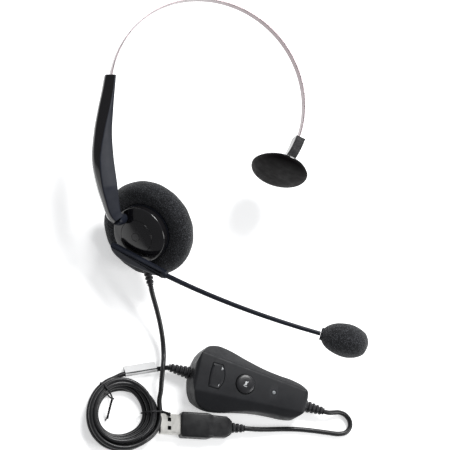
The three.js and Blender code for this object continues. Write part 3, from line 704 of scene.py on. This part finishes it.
def carved(mesh, *cutters):
    """The mesh with other meshes cut out of it."""
    body = bpy.data.objects.new("carved", mesh)
    bpy.context.scene.collection.objects.link(body)
    tools = []
    for cutter in cutters:
        tool = bpy.data.objects.new("cutter", cutter)
        bpy.context.scene.collection.objects.link(tool)
        tools.append(tool)
        change = body.modifiers.new("cut", "BOOLEAN")
        change.operation = "DIFFERENCE"
        change.solver = "EXACT"
        change.object = tool
    bpy.context.view_layer.update()
    done = bpy.data.meshes.new_from_object(body.evaluated_get(bpy.context.evaluated_depsgraph_get()))
    for thing in (body, *tools):
        bpy.data.objects.remove(thing)
    return done


def rocker_outline(grow):
    """The rocker's outline, moved outwards by grow."""
    half, x = ROCKER["half"] + grow, ROCKER["x"]
    right = bezier((x + 2.2 + grow, -half), (x + 5.7 + grow, -half / 3), (x + 5.7 + grow, half / 3),
                   (x + 2.2 + grow, half), 16)
    left = bezier((x - 4 - grow, half), (x - 4.9 - grow, half / 3), (x - 4.9 - grow, -half / 3),
                  (x - 4 - grow, -half), 10)
    return [*right, (x + 2.2 + grow, half), *left, (x - 4 - grow, -half)]


def disc(r, x, sides=64):
    """A circle's outline on the box's middle line, anticlockwise."""
    turns = [2 * math.pi * i / sides for i in range(sides)]
    return [(x + r * math.cos(a), r * math.sin(a)) for a in turns]


def bar(length, width, x, y, turn=0.0):
    """A small rounded bar's outline, anticlockwise."""
    c, s = math.cos(math.radians(turn)), math.sin(math.radians(turn))
    flat = []
    for end in (1, -1):
        for i in range(7):
            a = math.radians(-90 + 30 * i)
            px, py = end * (length / 2 - width / 2 + width / 2 * math.cos(a)), end * width / 2 * math.sin(a)
            flat.append((x + px * c - py * s, y + px * s + py * c))
    return flat


def box_half(name, upper_part):
    rings = []
    seam = BOX["split"]
    for x, side, base, top, upper, lower, flat in box_sections():
        if upper_part:
            half = [(side, seam + 0.15), (side, upper), (top, flat), (0.0, flat + 0.12)]
        else:
            half = [(side, seam - 0.15), (side, lower), (base, 0.02), (0.0, 0.02)]
        line = rounded(half, 1.1, 4)
        ring = [(x, y, z) for y, z in line] + [(x, -y, z) for y, z in line[-2::-1]]
        rings.append(ring)
    return rings_mesh(name, rings, IN_BOX)


def make_box():
    pockets = [
        crowned("pocket", disc(6.35, MUTE_X), [(9.0, 0.0), (30.0, 0.0)], IN_BOX),
        crowned("pocket", rocker_outline(0.2), [(11.0, 0.0), (30.0, 0.0)], IN_BOX),
        crowned("pocket", disc(1.5, LED_X, 32), [(9.0, 0.0), (30.0, 0.0)], IN_BOX),
        crowned("pocket", disc(2.4, LED_X, 32), [(15.85, 0.0), (30.0, 0.0)], IN_BOX),
    ]
    top = carved(box_half("box_top", True), *pockets)
    finish_piece("box_top", top, "earcup", "box_grey", ["box_top_shell"], 24.0)
    finish_piece("box_bottom", box_half("box_bottom", False), "earcup", "box_grey", ["box_bottom_shell"], 24.0)

    plate = [(14.3, 0.3), (14.8, 0.0), (16.3, 0.0), (16.75, 0.18), (17.0, 0.6), (17.15, 1.6)]
    finish_piece("rocker_cap", crowned("rocker_cap", rocker_outline(0.0), plate, IN_BOX), "rocker", "box_grey",
                 ["volume_rocker"], 45.0)
    knob = [(12.4, 0.6), (12.8, 0.0), (16.8, 0.0), (17.3, 0.25), (17.6, 0.8), (17.8, 2.0), (17.9, 3.6),
            (17.93, 5.2)]
    finish_piece("mute_cap", crowned("mute_cap", disc(6.0, MUTE_X), knob, IN_BOX), "mute", "button_black",
                 ["mute_button"], 45.0)
    lens = [(8.6, 0.0), (15.9, 0.0), (16.1, 0.15), (16.2, 0.5)]
    finish_piece("led_lens", crowned("led_lens", disc(1.2, LED_X, 32), lens, IN_BOX), "earcup", "light_pipe",
                 ["led_light_pipe"], 45.0)

    def mark(name, outline, height, body):
        made = crowned(name, outline, [(height - 0.1, 0.0), (height + 0.05, 0.0)], IN_BOX)
        finish_piece(name, made, body, "button_black", (), 30.0, look="print_white")

    mark("mark_plus_a", bar(2.0, 0.4, -21.0, 5.2, 0), 17.1, "rocker")
    mark("mark_plus_b", bar(2.0, 0.4, -21.0, 5.2, 90), 17.12, "rocker")
    mark("mark_minus", bar(2.0, 0.4, -21.0, -5.2, 90), 17.1, "rocker")
    mark("mark_mic", bar(2.5, 1.2, MUTE_X, 0.3, 90), 17.93, "mute")
    mark("mark_foot", bar(1.8, 0.4, MUTE_X, -1.7, 0), 17.93, "mute")
    mark("mark_slash", bar(4.2, 0.42, MUTE_X, 0.0, 50), 17.96, "mute")


# ---- USB plug's overmould ----
def make_plug():
    def section(x, w, h, c):
        corner = [(w, -h), (w, h), (-w, h), (-w, -h)]
        ring = []
        for k, (y, z) in enumerate(corner):
            start = -90 + 90 * k
            cy, cz = y - math.copysign(c, y), z - math.copysign(c, z)
            for i in range(6):
                a = math.radians(start + 18 * i)
                ring.append((x, cy + c * math.cos(a), cz + c * math.sin(a)))
        return ring

    rings = [section(*row) for row in (
        (0.3, 6.9, 3.3, 1.0), (0.6, 7.4, 3.7, 1.2), (1.4, 7.8, 3.95, 1.3), (17.0, 7.8, 3.95, 1.3),
        (18.0, 7.7, 3.9, 1.3), (20.4, 6.9, 3.5, 1.2), (21.0, 6.8, 3.45, 1.2), (29.4, 6.5, 3.4, 1.2),
        (31.6, 5.2, 3.1, 1.4), (32.8, 4.0, 2.8, 1.4), (33.0, 3.4, 2.5, 1.2))]
    body = rings_mesh("plug_body", rings, IN_PLUG)
    pocket_rings = [section(x, 6.3, 2.55, 0.2) for x in (-1.0, 9.0)]
    body = carved(body, rings_mesh("pocket", pocket_rings, IN_PLUG))
    finish_piece("plug_body", body, "earcup", "satin_black", ["usb_overmould"], 32.0, look="cord_jacket")
    grip = [section(x, 8.05, 0.9, 0.5) for x in (0.0, 9.5)]
    for k in range(4):
        place = IN_PLUG @ Matrix.Translation((3.2 + 3.0 * k, 0, 0)) @ Matrix.Scale(0.11, 4, (1, 0, 0))
        finish_piece(f"plug_rib_{k + 1}", rings_mesh("rib", grip, place), "earcup", "satin_black", (), 32.0,
                     look="cord_jacket")


# ---- label wrapped on the cord, and the twist ties ----
def make_label():
    """A blank paper flag, folded round the cord."""
    turn = Matrix.Rotation(math.radians(LABEL["turn"]), 4, "Z")
    lay = TO_FRAME @ Matrix.Translation((LABEL["x"], LABEL["y"], LABEL["z"])) @ turn
    r = LABEL["r"]
    loop = [(r * math.cos(math.radians(a)), r * math.sin(math.radians(a))) for a in range(110, 431, 16)]
    flag = [(1.4, 1.05), (3.4, -0.1), (5.0, -0.9), (5.05, -1.1), (3.2, -0.45), (1.2, 0.6)]
    section = [*loop, *flag]
    rings = []
    for i in range(25):
        x = -LABEL["length"] / 2 + LABEL["length"] * i / 24
        lift = 0.12 * math.sin(0.5 * x)
        rings.append([(x, y, z + (lift if y > 2.5 else 0.0)) for y, z in section])
    wrap = rings_mesh("label_wrap", rings, lay)
    finish_piece("label_wrap", wrap, "earcup", "label_paper", ["cord_label"], 50.0)


def make_ties():
    """Two wires round the coil's strands, each with a twisted tail."""
    inward = [(11.8, 4.6), (10.2, 5.4), (8.0, 4.2), (5.6, 2.4), (3.6, 1.2)]
    outward = [(23.6, 5.2), (25.4, 5.4), (27.2, 6.6), (28.4, 7.6)]
    ties = ((128.0, math.pi, 9.5, inward), (8.0, 0.0, -3.0, outward))
    for k, (turn, start, lean, points) in enumerate(ties):
        at_coil = TO_FRAME @ Matrix.Translation((COIL["x"], COIL["y"], 0.0))
        place = at_coil @ Matrix.Rotation(math.radians(turn), 4, "Z")
        steps = 56
        loop = []
        for i in range(steps + 1):
            a = 2 * math.pi * i / steps + start
            across = 0.7 * (i / steps - 0.5) * 2.0
            loop.append(Vector((17.5 + 6.2 * math.cos(a), across, max(0.75, 4.6 + 4.6 * math.sin(a)))))
        name = f"tie_loop_{k + 1}"
        finish_piece(name, round_tube(name, loop, 0.5, place, 12), "earcup", "tie_wire", [f"twist_tie_{k + 1}"])
        line = catmull([(x, lean * i / (len(points) - 1), z) for i, (x, z) in enumerate(points)], 14)
        for strand in (0, 1):
            twisted = []
            for i, p in enumerate(line):
                a = 0.62 * i + math.pi * strand
                open_out = 0.55 + 0.5 * max(0.0, i / (len(line) - 1) - 0.82) / 0.18
                twisted.append(p + Vector((0.0, math.cos(a), math.sin(a))) * open_out)
            name = f"tie_tail_{k + 1}_{strand + 1}"
            finish_piece(name, round_tube(name, twisted, 0.42, place, 8), "earcup", "tie_wire")


make_band()
make_arm()
make_cup()
make_boom()
make_pad()
make_reliefs()
make_box()
make_plug()
make_label()
make_ties()
declare_cords()


# ---- studio: a pale, faintly glowing floor and two soft boxes ----
def make_studio():
    world = bpy.data.worlds.new("studio")
    world.use_nodes = True
    world.node_tree.nodes["Background"].inputs["Color"].default_value = (0.95, 0.97, 1.0, 1.0)
    world.node_tree.nodes["Background"].inputs["Strength"].default_value = 0.32
    bpy.context.scene.world = world
    bpy.context.scene.view_settings.view_transform = "Standard"

    mesh = bpy.data.meshes.new("floor")
    half = 6.0
    low = -0.0002
    corners = [(-half, -half, low), (half, -half, low), (half, half, low), (-half, half, low)]
    mesh.from_pydata(corners, [], [(0, 1, 2, 3)])
    floor = bpy.data.objects.new("floor", mesh)
    bpy.context.scene.collection.objects.link(floor)
    paper = bpy.data.materials.new("floor_paper")
    paper.use_nodes = True
    shader = paper.node_tree.nodes["Principled BSDF"]
    shader.inputs["Base Color"].default_value = (0.93, 0.93, 0.93, 1.0)
    shader.inputs["Roughness"].default_value = 0.8
    shader.inputs["Emission Color"].default_value = (1.0, 1.0, 1.0, 1.0)
    shader.inputs["Emission Strength"].default_value = 0.45
    mesh.materials.append(paper)

    def soft_box(name, place, aim, size, watts):
        light = bpy.data.lights.new(name, "AREA")
        light.shape = "RECTANGLE"
        light.size, light.size_y = size
        light.energy = watts
        lamp = bpy.data.objects.new(name, light)
        lamp.location = place
        lamp.rotation_euler = (Vector(aim) - Vector(place)).to_track_quat("-Z", "Y").to_euler()
        bpy.context.scene.collection.objects.link(lamp)

    soft_box("key_light", (0.30, 0.60, 0.80), (0, 0, 0), (0.45, 0.45), 12.0)
    soft_box("side_light", (0.75, -0.35, 0.55), (0, 0, 0.03), (0.3, 0.5), 4.0)


make_studio()
